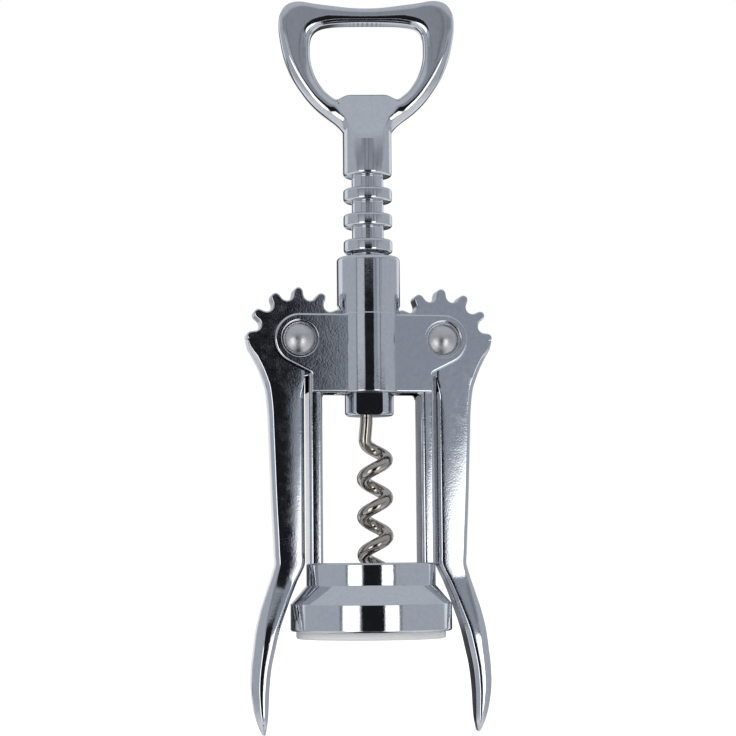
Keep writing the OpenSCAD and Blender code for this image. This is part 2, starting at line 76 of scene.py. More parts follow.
# Plates, with round ears, nearly square lower corners and recesses for the rivets' heads
PLATE_Z = 59.1
PLATE_IN = 3.3
PLATE_OUT = 5.2
PLATE_EDGE = 0.5
EAR_R = 6.1
SIDE_X = 14.85
SIDE_Z = 63.9
SIDE_ROUND = 0.9
CORNER_ROUND = 0.5
RECESS_R = 4.4
RECESS_LIP = 0.22
RECESS_DEPTH = 0.8
RECESS_DRAFT = 0.05

# Rivets
RIVET_R = 2.4
HEAD_R = 3.95
HEAD_H = 1.9
HEAD_SHOULDER = 0.12
HEAD_RIM = 0.16
HEAD_DRAFT = 0.03

# Legs, sunk into the bell, with fillets to the plates
LEG_OUT = 15.3
LEG_IN = 12.1
LEG_W = 8.8
LEG_EDGE = 0.95
LEG_SUNK = 1.2
LEG_SHORT = 0.2
LEG_MIDDLES = (30.0, 45.0)
FILLET_R = 1.1
FILLET_SUNK = 0.5
FILLET_OVER = 0.6
FILLET_SHY = 0.9

# Spindle: tail, rings, necks between them and shank
SPINDLE_R = 6.0
NECK_R = 3.9
TAIL_Z = 53.67
TAIL_TOP_Z = 65.17
SHANK_Z = 112.59
ROOT_Z = 124.09
SHANK_TOP_Z = ROOT_Z + 4.0
RING_COUNT = 7
RING_T = 3.3
RING_PITCH = 6.34
FIRST_RING_Z = 69.86
RING_EDGE = 0.8
NECK_EDGE = 0.25

# The cutters reach past the spindle, and one of them leaves the flats of its tail
CUT_OVER = 2.0
TAIL_FLAT_Y = 5.08
TAIL_FLAT_UNDER = 1.0
TAIL_FLAT_SHORT = 0.25

# Handle and its window, with the foot that goes down into the shank
LIP_Z = 133.19
HANDLE_W = 43.4
HANDLE_H = 32.39
HANDLE_T = 6.6
HANDLE_TURN = -9.0
HANDLE_FOOT_H = 2.7
WINDOW_W = 28.0
WINDOW_H = 17.6

# The handle's section: its rounded edge, its power from the lower bars to the top bar, and its root
HANDLE_EDGE = 3.6
LOW_POWER = 2.4
POWER_RISE = 1.2
POWER_FROM = 12.0
POWER_RUN = 12.0
ROOT_SWELL_H = 8.0
ROOT_SUNK = 0.02
ROOT_SOFT = 1.4

# The shield between shank and window: its half thickness and its half width at heights. Beside it
# and above it the bow grows thick again, with a soft change high up and a sharp one at the root.
SHIELD = [(121.2, 6.0), (121.6, 5.5), (122.4, 5.08), (124.0, 4.4), (125.7, 3.73), (128.5, 2.9),
    (131.0, 2.1), (133.2, 1.5)]
SHIELD_HALF_W = [(127.0, 5.3), (131.0, 6.7), (133.2, 7.8)]
SHIELD_OVER = 0.2
SHIELD_FLANK = 0.9
SHIELD_DEEPER = 0.02
SHIELD_CUT_X = 7.84
SHIELD_EDGE_DEEP = 0.2
SHIELD_SOFT_FROM = 4.0
SHIELD_SOFT = 0.8
SHIELD_SHARP = 0.25

# Outlines as shares, fitted to the photograph. Handle: of its half width and its height from the root
HANDLE_SHARES = [(0.365, 0.05), (0.53, 0.135), (0.645, 0.21), (0.74, 0.292), (0.85, 0.41), (0.94, 0.56),
    (0.99, 0.725), (1, 0.82), (0.985, 0.9), (0.925, 0.968), (0.84, 0.996), (0.74, 1), (0.6, 0.984),
    (0.38, 0.964), (0.18, 0.948)]
HANDLE_MIDDLE_SHARE = 0.943
# The handle's foot: of the spindle's radius and of the foot's height below the root
FOOT_SHARES = [(0.58, 1.3), (0.88, 0.66), (1.06, 0)]
# Window: of its half width and of its height from the lip
WINDOW_SHARES = [(0.16, 0), (0.32, -0.002), (0.42, -0.03), (0.5, -0.065), (0.57, -0.06), (0.67, 0),
    (0.755, 0.065), (0.875, 0.21), (0.945, 0.345), (0.99, 0.49), (1, 0.63), (0.99, 0.78), (0.94, 0.88),
    (0.83, 0.95), (0.64, 0.985), (0.3, 1)]

# Worm: from its seat in the tail over a straight neck and a bend into the helix, down to its point.
# Its pitch and its neck follow the photograph more closely than the solid's do.
WIRE_R = 1.55
HELIX_R = 2.85
WORM_PITCH = 9.2
WORM_LEN = 43.0
WORM_SEAT = 4.0
WORM_SEAT_STEP = 0.5
WORM_NECK = 5.3
WORM_BEND = WORM_PITCH / 3
WORM_TIP = 3.6
WORM_TIP_STEPS = 24
WORM_TIP_SPACING = 1.5
WORM_TIP_SHAPE = 0.8
WORM_TIP_LEAST = 0.05
WORM_STEP = 0.14
WORM_NEAR = 0.02
WORM_AXIS = Vector((1.0, -1.3))
WORM_LEAVE = math.radians(140)
WORM_TOP = WORM_AXIS + HELIX_R * Vector((math.cos(WORM_LEAVE), math.sin(WORM_LEAVE))) + Vector((0.5, -0.3))

# Levers
LEVER_T = 6.0
LEVER_W = 8.6
LEVER_IN = 16.3
LEVER_STEP = 0.8
GRIP_LEN = 40.6
GRIP_MOVE = 3.9
LEVER_CROWN = 0.038
CROWN_FROM = 6.0
CROWN_RUN = 12.0
CROWN_W = 7.0
BEVEL = 0.85
BEVEL_RUN = 3.87
BEVEL_LEAST = 0.02
BEVEL_SHARE = 0.42
BEVEL_CORNER = 0.3
BEVEL_CORNER_SHARE = 0.35

# Arm: share of the way from the pivot down to the bell's top, and of the lever's width
ARM_SHARES = [(0, 1.6), (0.04, 1.55), (0.085, 1.4), (0.13, 1.26), (0.175, 1.15), (0.22, 1.065), (0.31, 1),
    (0.42, 0.97), (0.55, 0.94), (0.72, 0.9), (0.88, 0.85), (0.95, 0.832)]
# Grip: shares of its length, of its sideways move and of the lever's width
GRIP_SHARES = [(0, 0, 0.815), (0.04, 0.15, 0.79), (0.1, 0.46, 0.735), (0.158, 0.71, 0.72),
    (0.21, 0.93, 0.705), (0.275, 1.18, 0.69), (0.39, 1.6, 0.63), (0.51, 1.9, 0.57), (0.62, 2.13, 0.525),
    (0.74, 2.25, 0.475), (0.857, 2.29, 0.385), (0.93, 2.33, 0.275), (0.975, 2.4, 0.155), (1, 2.46, 0.06)]
# At shares of the grip's length: half its thickness, and its bevels
GRIP_HALF_T = [(0, LEVER_T / 2), (0.06, 3.0), (0.1, 3.03), (0.14, 3.12), (0.18, 3.27), (0.27, 3.6),
    (0.36, 3.92), (0.42, 4.06), (0.46, 4.11), (0.5, 4.12), (0.55, 4.05), (0.65, 3.85), (0.75, 3.55),
    (0.85, 3.1), (0.93, 2.55), (1, 1.5)]
OUTER_BEVEL = [(0, 0.85), (0.12, 1.1), (0.22, 1.5), (0.4, 1.85), (0.6, 1.85), (0.8, 1.5), (1, 0.9)]
INNER_BEVEL = [(0, 0.85), (0.12, 0.9), (0.4, 1.0), (0.8, 0.95), (1, 0.7)]

# Hub and teeth of the levers
HUB_R = 9.264
ROOT_R = 9.6
ROOT_OVER = 0.15
TIP_R = 12.7
TIP_CLEAR = 0.4
TOOTH_STEP = 28.7
FIRST_TOOTH = 4.2
SECTOR_FROM = FIRST_TOOTH - TOOTH_STEP * 0.5
SECTOR_TO = FIRST_TOOTH + TOOTH_STEP * 6.35
TOOTH_TIP_R = 1.1
TOOTH_HALF = 1.12
TOOTH_TAPER = 0.22
TOOTH_FLARE = 0.85
SECTOR_LOWER = 0.012
SECTOR_EDGE = 0.32
SECTOR_POINTS = 0.22

# Width of the strip beside a rounded edge that keeps the shading of the flat face next to it flat
SUPPORT = 0.04


# Camera, fitted to the photograph: the view is from the left by 10 degrees and from below by 5

CAMERA_AT = (-0.0883, -0.5, 0.0173)
CAMERA_YAW = math.radians(9.99)
CAMERA_PITCH = math.radians(5.42)
CAMERA_ROLL = -0.0084
CAMERA_LENS = 102.2


def make_camera():
    level = math.cos(CAMERA_PITCH)
    forward = Vector((math.sin(CAMERA_YAW) * level, math.cos(CAMERA_YAW) * level, math.sin(CAMERA_PITCH)))
    right = Vector((math.cos(CAMERA_YAW), -math.sin(CAMERA_YAW), 0))
    up = right.cross(forward)
    c, s = math.cos(CAMERA_ROLL), math.sin(CAMERA_ROLL)
    right, up = right * c + up * s, up * c - right * s
    data = bpy.data.cameras.new("camera")
    data.sensor_width = 36
    data.lens = CAMERA_LENS
    data.clip_start, data.clip_end = 0.01, 20
    cam = bpy.data.objects.new("camera", data)
    bpy.context.scene.collection.objects.link(cam)
    rows = [(right[i], up[i], -forward[i], CAMERA_AT[i]) for i in range(3)]
    cam.matrix_world = Matrix(rows + [(0, 0, 0, 1)])
    bpy.context.scene.camera = cam


# Small node-tree helpers


def rgb(r, g=None, b=None):
    return (r, r if g is None else g, r if b is None else b, 1)


class Tree:
    """Makes and links the nodes of a material or a world."""

    def __init__(self, owner):
        owner.use_nodes = True
        self.tree = owner.node_tree

    def clear(self):
        for n in list(self.tree.nodes):
            self.tree.nodes.remove(n)

    def node(self, kind, **props):
        n = self.tree.nodes.new(kind)
        for key, value in props.items():
            setattr(n, key, value)
        return n

    def put(self, socket, value):
        """Links an output into a socket, or gives the socket a value of its own."""
        if hasattr(value, "is_output"):
            self.tree.links.new(value, socket)
        else:
            socket.default_value = value

    def math(self, op, *args):
        n = self.node("ShaderNodeMath", operation=op)
        for i, a in enumerate(args):
            self.put(n.inputs[i], a)
        return n.outputs[0]

    def both(self, a, b):
        return self.math("MULTIPLY", a, b)

    def either(self, a, b):
        return self.math("MAXIMUM", a, b)

    def step(self, x, a, b):
        """0 at a and beyond it, 1 at b and beyond it, smooth between."""
        n = self.node("ShaderNodeMapRange", interpolation_type="SMOOTHSTEP")
        self.put(n.inputs["Value"], x)
        if a < b:
            n.inputs["From Min"].default_value, n.inputs["From Max"].default_value = a, b
        else:
            n.inputs["From Min"].default_value, n.inputs["From Max"].default_value = b, a
            n.inputs["To Min"].default_value, n.inputs["To Max"].default_value = 1, 0
        return n.outputs["Result"]

    def band(self, x, a, b, soft_a, soft_b=None):
        """1 between a and b, with soft edges centred on them."""
        soft_b = soft_a if soft_b is None else soft_b
        return self.both(self.step(x, a - soft_a, a + soft_a), self.step(x, b + soft_b, b - soft_b))

    def range(self, x, a, b, low, high):
        """Maps a to low and b to high, and stays between them."""
        n = self.node("ShaderNodeMapRange")
        self.put(n.inputs["Value"], x)
        for key, value in (("From Min", a), ("From Max", b), ("To Min", low), ("To Max", high)):
            n.inputs[key].default_value = value
        return n.outputs["Result"]

    def mix(self, factor, a, b):
        n = self.node("ShaderNodeMix", data_type="RGBA")
        self.put(n.inputs[0], factor)
        self.put(n.inputs[6], a)
        self.put(n.inputs[7], b)
        return n.outputs[2]

    def blend(self, factor, a, b):
        """Mixes two shaders."""
        n = self.node("ShaderNodeMixShader")
        for i, value in enumerate((factor, a, b)):
            self.put(n.inputs[i], value)
        return n.outputs[0]

    def background(self, color, strength=1.0):
        n = self.node("ShaderNodeBackground")
        self.put(n.inputs[0], color)
        n.inputs[1].default_value = strength
        return n.outputs[0]

    def noise(self, place, scale, detail, roughness=0.5):
        n = self.node("ShaderNodeTexNoise")
        self.put(n.inputs["Vector"], place)
        n.inputs["Scale"].default_value = scale
        n.inputs["Detail"].default_value = detail
        n.inputs["Roughness"].default_value = roughness
        return n.outputs["Fac"]

    def bump(self, height, distance, normal=None):
        n = self.node("ShaderNodeBump")
        n.inputs["Strength"].default_value = 1
        n.inputs["Distance"].default_value = distance
        self.put(n.inputs["Height"], height)
        if normal is not None:
            self.put(n.inputs["Normal"], normal)
        return n.outputs[0]


# The studio that the metal mirrors. Azimuth is 0 towards the front and grows to the right, elevation
# is 0 at the horizon, both in degrees. A FADE is where something is 0 and where it is 1. Any other
# range is from, to and the softness of its edges, one for both or one for each. A SHARE says how far
# a tone covers what is behind it. Tones over 1 are brighter than white.

ROOM_LOW, ROOM_HIGH = rgb(0.50, 0.525, 0.575), rgb(0.60, 0.625, 0.67)
ROOM_FADE = (-10.0, 60.0)
TABLE = rgb(0.85, 0.86, 0.88)
TABLE_FADE = (-14.0, -30.0)
RIM = rgb(1.2, 1.2, 1.22)
RIM_AZ, RIM_EL = (-26.0, 12.0, 2.0), (-38.0, -35.0, 1.0)

CARD = rgb(2.2)
CARD_FOOT_FADE = (-38.0, -26.0)
LEFT_AZ, LEFT_FADE = (-50.0, -26.0, 1.5, 1.5), (4.0, 2.0)
DIM, DIM_FADE, DIM_SHARE = TABLE, (12.0, 6.0), 0.35
RIGHT_AZ, RIGHT_FADE = (10.2, 30.0, 0.8, 1.5), (0.7, -0.7)
# The right card's top rises to the right, between two limits, and the card fades out across it
RIGHT_SLOPE, RIGHT_SLOPE_AZ, RIGHT_SLOPE_EL = 0.25, 10.0, 1.5
RIGHT_TOP_LEAST, RIGHT_TOP_MOST = 1.0, 3.0

WALL, WALL_SHARE = rgb(0.29, 0.305, 0.34), 0.85
WALL_AZ, WALL_EL = (-62.0, 62.0, 6.0), (10.5, 24.0, 2.5, 5.0)
LOW_WALL = rgb(0.355, 0.385, 0.44)
LOW_WALL_AZ, LOW_WALL_EL = (8.0, 22.0, 2.0), (2.0, 11.0, 1.0, 2.5)

JOINT, JOINT_FADE, JOINT_SHARE = rgb(0.1), (16.0, 6.0), 0.6
JOINTS_AZ = [(30.5, 34.5, 1.2), (-54.5, -50.5, 1.2)]
UPRIGHT, UPRIGHT_EL, UPRIGHT_SHARE = rgb(0.12, 0.12, 0.13), (7.5, 17.0, 1.5, 4.0), 0.55
UPRIGHTS_AZ = [(-21.5, -18.5, 1.5), (16.0, 20.0, 2.0), (-5.0, -2.0, 1.5), (37.0, 40.0, 2.0)]

COLUMN, COLUMN_SHARE = rgb(0.006, 0.006, 0.008), 0.985
COLUMN_AZ = (-23.5, 9.0, 1.6, 0.65)
COLUMN_TOP_FADE, COLUMN_FOOT_FADE = (11.0, 8.0), (-60.0, -50.0)
BARS_AZ, BARS_EL = [(-52.0, -20.0, 2.0), (17.0, 50.0, 2.0)], (3.7, 4.65, 0.15, 0.1)
# The dark strip of the ground, by the direction's parts: across the strip, and down
STRIP_X, STRIP_BACK = 0.99, 0.14
STRIP_FADE, STRIP_DOWN_FADE = (0.3, 0.24), (-0.7, -0.8)

PANEL_EL = (-32.0, 24.0, 5.0)
PALE_PANEL, PALE_PANEL_AZ = rgb(0.95, 0.96, 0.98), (118.0, 146.0, 3.0)
DARK_PANEL, DARK_PANEL_AZ, DARK_PANEL_SHARE = rgb(0.03), (151.0, 169.0, 2.0), 0.93
# The ground and the backdrop behind the object, by the direction's part along Y
GROUND, GROUND_SHARE = rgb(0.03), 0.9
GROUND_FADE, GROUND_EL = (0.25, 0.5), (-9.5, -4.0, 2.5, 2.0)
BACKDROP, BACKDROP_FADE = rgb(1), (0.983, 0.992)

PLAIN_LIGHT = 0.8


def any_band(t, value, rows):
    found = t.band(value, *rows[0])
    for row in rows[1:]:
        found = t.either(found, t.band(value, *row))
    return found


def room(t, el):
    """Grey room, a little lighter above, with a pale table below."""
    color = t.mix(t.step(el, *ROOM_FADE), ROOM_LOW, ROOM_HIGH)
    return t.mix(t.step(el, *TABLE_FADE), color, TABLE)


def cards_and_walls(t, color, az, el):
    """White cards on both sides of the camera, low down, and darker stretches of wall above them."""
    left = t.band(az, *LEFT_AZ)
    color = t.mix(t.both(t.both(left, t.step(el, *DIM_FADE)), DIM_SHARE), color, DIM)
    wall = t.both(t.band(az, *WALL_AZ), t.band(el, *WALL_EL))
    color = t.mix(t.both(wall, WALL_SHARE), color, WALL)
    wall = t.both(t.band(az, *LOW_WALL_AZ), t.band(el, *LOW_WALL_EL))
    color = t.mix(wall, color, LOW_WALL)
    slope = t.math("ADD", t.both(t.math("SUBTRACT", az, RIGHT_SLOPE_AZ), RIGHT_SLOPE), RIGHT_SLOPE_EL)
    top = t.math("MINIMUM", t.either(slope, RIGHT_TOP_LEAST), RIGHT_TOP_MOST)
    right = t.both(t.band(az, *RIGHT_AZ), t.step(t.math("SUBTRACT", el, top), *RIGHT_FADE))
    cards = t.either(right, t.both(left, t.step(el, *LEFT_FADE)))
    return t.mix(t.both(cards, t.step(el, *CARD_FOOT_FADE)), color, CARD)


def thin_lines(t, color, az, el):
    """Dark joints beside the cards, and thin dark uprights of the room higher up."""
    joints = t.both(any_band(t, az, JOINTS_AZ), t.both(t.step(el, *JOINT_FADE), JOINT_SHARE))
    color = t.mix(joints, color, JOINT)
    uprights = t.both(any_band(t, az, UPRIGHTS_AZ), t.band(el, *UPRIGHT_EL))
    return t.mix(t.both(uprights, UPRIGHT_SHARE), color, UPRIGHT)


def column(t, color, az, el, x, back, z):
    """Black column behind the camera, with a dark bar on each side and a strip of ground below."""
    black = t.both(t.band(az, *COLUMN_AZ), t.step(el, *COLUMN_TOP_FADE))
    black = t.either(black, t.both(any_band(t, az, BARS_AZ), t.band(el, *BARS_EL)))
    black = t.both(black, t.step(el, *COLUMN_FOOT_FADE))
    off = t.math("ADD", t.both(x, STRIP_X), t.both(back, STRIP_BACK))
    strip = t.both(t.step(t.math("ABSOLUTE", off), *STRIP_FADE), t.step(z, *STRIP_DOWN_FADE))
    color = t.mix(t.both(t.either(black, strip), COLUMN_SHARE), color, COLUMN)
    # The table's pale front edge crosses the column
    return t.mix(t.both(t.band(az, *RIM_AZ), t.band(el, *RIM_EL)), color, RIM)


def far_side(t, color, az, el, y):
    """Panels, dark ground and the white backdrop on the far side of the object."""
    side, height = t.math("ABSOLUTE", az), t.band(el, *PANEL_EL)
    color = t.mix(t.both(t.band(side, *PALE_PANEL_AZ), height), color, PALE_PANEL)
    dark = t.both(t.band(side, *DARK_PANEL_AZ), t.both(height, DARK_PANEL_SHARE))
    color = t.mix(dark, color, DARK_PANEL)
    ground = t.both(t.step(y, *GROUND_FADE), t.band(el, *GROUND_EL))
    color = t.mix(t.both(ground, GROUND_SHARE), color, GROUND)
    return t.mix(t.step(y, *BACKDROP_FADE), color, BACKDROP)


def make_world():
    """The studio for mirrored rays, plain light for diffuse ones and white for the camera."""
    world = bpy.data.worlds.new("studio")
    bpy.context.scene.world = world
    t = Tree(world)
    t.clear()
    xyz = t.node("ShaderNodeSeparateXYZ")
    t.put(xyz.inputs[0], t.node("ShaderNodeTexCoord").outputs["Generated"])
    x, y, z = xyz.outputs
    back = t.both(y, -1.0)
    az = t.both(t.math("ARCTAN2", x, back), 180 / math.pi)
    el = t.both(t.math("ARCSINE", z), 180 / math.pi)
    color = cards_and_walls(t, room(t, el), az, el)
    color = thin_lines(t, color, az, el)
    color = column(t, color, az, el, x, back, z)
    color = far_side(t, color, az, el, y)
    rays = t.node("ShaderNodeLightPath")
    mirrored = t.either(rays.outputs["Is Glossy Ray"], rays.outputs["Is Transmission Ray"])
    unseen = t.blend(mirrored, t.background(rgb(1), PLAIN_LIGHT), t.background(color))
    seen = t.blend(rays.outputs["Is Camera Ray"], unseen, t.background(rgb(1)))
    t.put(t.node("ShaderNodeOutputWorld").inputs[0], seen)


# Floor and lamp, with sizes and places in metres

FLOOR_HALF = 3.0
FLOOR_Z = -0.0227
FLOOR_TONE = 0.8
FLOOR_GLOW = 0.55
LAMP_AT = (-0.5, -0.8, 0.9)
LAMP_AIM = (0, 0, 0.06)
LAMP_SIZE = 0.7
LAMP_POWER = 3.0


def make_floor():
    """Pale floor, whose glow makes it white for the camera while it still shows the shadow."""
    half, z = FLOOR_HALF, FLOOR_Z
    mesh = bpy.data.meshes.new("floor")
    corners = [(-half, -half, z), (half, -half, z), (half, half, z), (-half, half, z)]
    mesh.from_pydata(corners, [], [(0, 1, 2, 3)])
    floor = bpy.data.objects.new("floor", mesh)
    bpy.context.scene.collection.objects.link(floor)
    floor.visible_glossy = False
    mat = bpy.data.materials.new("floor")
    t = Tree(mat)
    t.clear()
    diffuse = t.node("ShaderNodeBsdfDiffuse")
    diffuse.inputs[0].default_value = rgb(FLOOR_TONE)
    glow = t.node("ShaderNodeEmission")
    rays = t.node("ShaderNodeLightPath")
    t.put(glow.inputs["Strength"], t.both(rays.outputs["Is Camera Ray"], FLOOR_GLOW))
    total = t.node("ShaderNodeAddShader")
    t.put(total.inputs[0], diffuse.outputs[0])
    t.put(total.inputs[1], glow.outputs[0])
    t.put(t.node("ShaderNodeOutputMaterial").inputs[0], total.outputs[0])
    mesh.materials.append(mat)


def make_lamp():
    data = bpy.data.lights.new("softbox", "AREA")
    data.shape, data.size, data.energy = "DISK", LAMP_SIZE, LAMP_POWER
    lamp = bpy.data.objects.new("softbox", data)
    bpy.context.scene.collection.objects.link(lamp)
    lamp.location = LAMP_AT
    lamp.rotation_euler = (Vector(LAMP_AIM) - lamp.location).to_track_quat("-Z", "Y").to_euler()
    lamp.visible_glossy = False


# Materials. A noise is its scale, its detail and where given its roughness.

SILVER = rgb(0.64, 0.66, 0.70)
SATIN = rgb(0.62, 0.62, 0.635)
NICKEL = rgb(0.46, 0.425, 0.385)
PEEL_NOISE = (2600, 2.0)
WAVE_NOISE = (260, 2.0)
CLOUD_NOISE = (420, 3.0, 0.65)
CLOUD_RANGE = (0.35, 0.7)
SPECK_NOISE = (900, 4.0, 0.7)
SPECK_RANGE = (0.3, 0.72)
SPECK_TONE = 0.9
# Heights of the relief in metres
PEEL_H = 0.0000022
WAVE_H = 0.0000075

MILKY_LOW, MILKY_HIGH = rgb(0.80, 0.81, 0.82), rgb(0.86, 0.87, 0.88)
MILKY_NOISE = (300, 3)
MILKY_H = 0.000004
MILKY_ROUGH = 0.34
MILKY_SUBSURFACE = 0.35
MILKY_RADIUS = 0.002
MILKY_SCALE = 0.5


def metal(name, color, rough, spread, fine, broad):
    """Bright plating on a casting: fine orange peel, slow waves and small specks."""
    mat = bpy.data.materials.new(name)
    t = Tree(mat)
    bsdf = mat.node_tree.nodes["Principled BSDF"].inputs
    bsdf["Metallic"].default_value = 1
    place = t.node("ShaderNodeTexCoord").outputs["Object"]
    cloud = t.noise(place, *CLOUD_NOISE)
    t.put(bsdf["Roughness"], t.range(cloud, *CLOUD_RANGE, rough, rough + spread))
    speck = t.range(t.noise(place, *SPECK_NOISE), *SPECK_RANGE, 0.0, 1.0)
    t.put(bsdf["Base Color"], t.mix(speck, rgb(*(c * SPECK_TONE for c in color[:3])), color))
    waves = t.bump(t.noise(place, *WAVE_NOISE), WAVE_H * broad)
    t.put(bsdf["Normal"], t.bump(t.noise(place, *PEEL_NOISE), PEEL_H * fine, waves))
    return mat


def milky_plastic():
    mat = bpy.data.materials.new("milky_plastic")
    t = Tree(mat)
    bsdf = mat.node_tree.nodes["Principled BSDF"].inputs
    cloud = t.noise(t.node("ShaderNodeTexCoord").outputs["Object"], *MILKY_NOISE)
    t.put(bsdf["Base Color"], t.mix(cloud, MILKY_LOW, MILKY_HIGH))
    bsdf["Roughness"].default_value = MILKY_ROUGH
    bsdf["Subsurface Weight"].default_value = MILKY_SUBSURFACE
    bsdf["Subsurface Radius"].default_value = (MILKY_RADIUS, MILKY_RADIUS, MILKY_RADIUS)
    bsdf["Subsurface Scale"].default_value = MILKY_SCALE
    t.put(bsdf["Normal"], t.bump(cloud, MILKY_H))
    return mat


# Line helpers

EVEN_PASSES = 3


def eased(value):
    """0 below 0, 1 above 1, smooth between."""
    value = max(0.0, min(1.0, value))
    return value * value * (3 - 2 * value)


def soft_min(a, b, k):
    """The smaller of two values, rounded over where they differ by less than k."""
    h = max(k - abs(a - b), 0) / k
    return min(a, b) - h * h * k / 4


def looked_up(rows, v):
    """Value in rows that go up, held at both ends."""
    if v <= rows[0][0]:
        return rows[0][1]
    for (a, p), (b, q) in zip(rows, rows[1:]):
        if v <= b:
            return p + (q - p) * (v - a) / (b - a)
    return rows[-1][1]


def rotated(v, angle):
    c, s = math.cos(angle), math.sin(angle)
    return Vector((v.x * c - v.y * s, v.x * s + v.y * c))


def quarter(steps):
    """Cosines and sines at even angles over a quarter turn."""
    angles = [math.pi / 2 * k / steps for k in range(steps + 1)]
    return [(math.cos(a), math.sin(a)) for a in angles]


def circle_loop(x, z, r, count=64):
    return [Vector((x + r * math.cos(2 * math.pi * k / count), z + r * math.sin(2 * math.pi * k / count)))
        for k in range(count)]


def facing(loop, y):
    """The points of an (x, z) loop, all at the depth y."""
    return [(p.x, y, p.y) for p in loop]


def rounded(corners, steps=6, closed=True):
    """A line through the corners (x, y, radius), with each corner rounded."""
    out = []
    n = len(corners)
    for i, (x, y, radius) in enumerate(corners):
        p = Vector((x, y))
        if radius <= 0 or (not closed and i in (0, n - 1)):
            out.append(p)
            continue
        a = (Vector(corners[i - 1][:2]) - p).normalized()
        b = (Vector(corners[(i + 1) % n][:2]) - p).normalized()
        half = math.acos(max(-1, min(1, a.dot(b)))) / 2
        reach = radius / math.tan(half)
        centre = p + (a + b).normalized() * (radius / math.sin(half))
        start, end = p + a * reach - centre, p + b * reach - centre
        turn = start.angle_signed(end)
        count = max(2, int(steps * abs(turn) / (math.pi / 2) + 0.5))
        out += [centre + rotated(start, -turn * k / count) for k in range(count + 1)]
    return out


def smooth_line(points, steps, closed):
    """Catmull-Rom line through the points, which may have any number of values."""
    out = []
    n = len(points)
    for i in range(n if closed else n - 1):
        if closed:
            near = [(i - 1) % n, i, (i + 1) % n, (i + 2) % n]
        else:
            near = [max(0, i - 1), i, i + 1, min(n - 1, i + 2)]
        a, b, c, d = (points[k] for k in near)
        for k in range(steps):
            t = k / steps
            out.append(tuple((2 * q + (r - p) * t + (2 * p - 5 * q + 4 * r - s) * t * t
                + (3 * q - p - 3 * r + s) * t ** 3) / 2 for p, q, r, s in zip(a, b, c, d)))
    if not closed:
        out.append(tuple(points[-1]))
    return out


def moved_in(loop, d):
    """A counter-clockwise closed loop moved in by d."""
    out = []
    n = len(loop)
    for i in range(n):
        before = (loop[i] - loop[i - 1]).normalized()
        after = (loop[(i + 1) % n] - loop[i]).normalized()
        along = (before + after).normalized()
        out.append(loop[i] + d * Vector((-along.y, along.x)))
    return out


def evened(loop, step):
    """The same closed line with points at even distances, a little smoothed."""
    lengths = [(loop[(i + 1) % len(loop)] - loop[i]).length for i in range(len(loop))]
    total = sum(lengths)
    n = int(total / step)
    out = []
    i, gone = 0, 0.0
    for k in range(n):
        want = total * k / n
        while gone + lengths[i] < want:
            gone += lengths[i]
            i += 1
        p, q = loop[i], loop[(i + 1) % len(loop)]
        out.append(p + (q - p) * ((want - gone) / lengths[i]))
    for _ in range(EVEN_PASSES):
        out = [(out[i - 1] + out[i] * 2 + out[(i + 1) % n]) / 4 for i in range(n)]
    return out


def by_angle(points, centre, count):
    """A closed line round a centre, resampled at even angles from straight down."""
    polar = sorted((math.atan2(x - centre[0], -(z - centre[1])) % (2 * math.pi),
        math.hypot(x - centre[0], z - centre[1])) for x, z in points)
    polar = [(polar[-1][0] - 2 * math.pi, polar[-1][1])] + polar + [(polar[0][0] + 2 * math.pi, polar[0][1])]
    out = []
    j = 0
    for k in range(count):
        a = 2 * math.pi * k / count
        while polar[j + 1][0] < a:
            j += 1
        (a0, r0), (a1, r1) = polar[j], polar[j + 1]
        r = r0 + (r1 - r0) * (a - a0) / (a1 - a0)
        out.append(Vector((centre[0] + r * math.sin(a), centre[1] - r * math.cos(a))))
    return out


# Mesh helpers

WELD = 2e-7
DEGENERATE = 1e-7
SHARP_ANGLE = 32
FLAT_WEIGHT = 60


def clean_mesh(name, verts, faces):
    """A mesh in metres of vertices in millimetres, welded and with its faces turned outwards."""
    mesh = bpy.data.meshes.new(name)
    mesh.from_pydata([v * MM for v in verts], [], faces)
    bm = bmesh.new()
    bm.from_mesh(mesh)
    bmesh.ops.remove_doubles(bm, verts=bm.verts, dist=WELD)
    bmesh.ops.dissolve_degenerate(bm, dist=DEGENERATE, edges=bm.edges)
    bmesh.ops.recalc_face_normals(bm, faces=bm.faces)
    bm.to_mesh(mesh)
    bm.free()
    return mesh


def finish_normals(obj, angle):
    """Smooth shading that keeps edges over the angle sharp and large faces flat."""
    mesh = obj.data
    mesh.polygons.foreach_set("use_smooth", [True] * len(mesh.polygons))
    mesh.set_sharp_from_angle(angle=math.radians(angle))
    mod = obj.modifiers.new("normals", "WEIGHTED_NORMAL")
    mod.keep_sharp = True
    mod.weight = FLAT_WEIGHT


